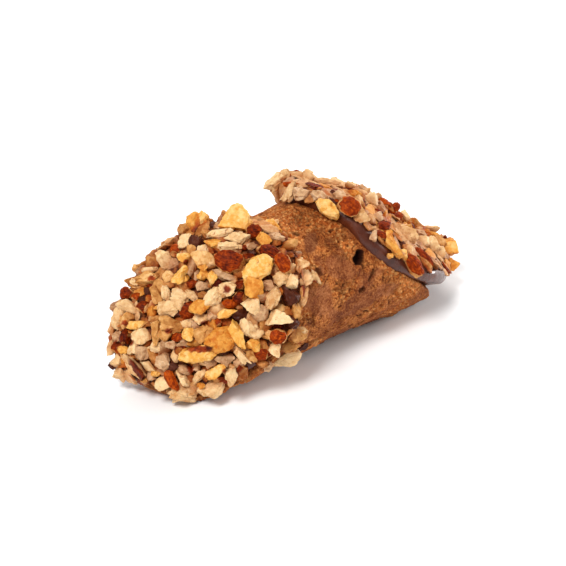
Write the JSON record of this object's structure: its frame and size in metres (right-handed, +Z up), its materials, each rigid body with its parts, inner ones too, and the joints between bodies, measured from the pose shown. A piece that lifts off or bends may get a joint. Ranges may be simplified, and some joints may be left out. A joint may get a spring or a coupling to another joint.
{
  "type": "filled cannolo pastry",
  "caption": "Fried pastry tube with slanted mouths, filled with chocolate cream that swells out of both ends under a crust of chopped nuts.",
  "frame": {"origin": "middle of the underside of the whole pastry, on the surface it rests on", "axes": "+X along the tube, towards the mouth with the longer lip; +Z up, out of the seam side; +Y across the tube"},
  "size_m": [0.102, 0.0452, 0.0411],
  "materials": {
    "fried_dough": "blistered brown fried crust, dull, with paler flakes and darker smooth patches",
    "cream_and_nuts": "glossy dark chocolate cream under pale, golden and red-skinned chips of nut"
  },
  "bodies": {
    "root": {"shell": "fried_dough", "filling": "cream_and_nuts"}
  },
  "joints": []
}
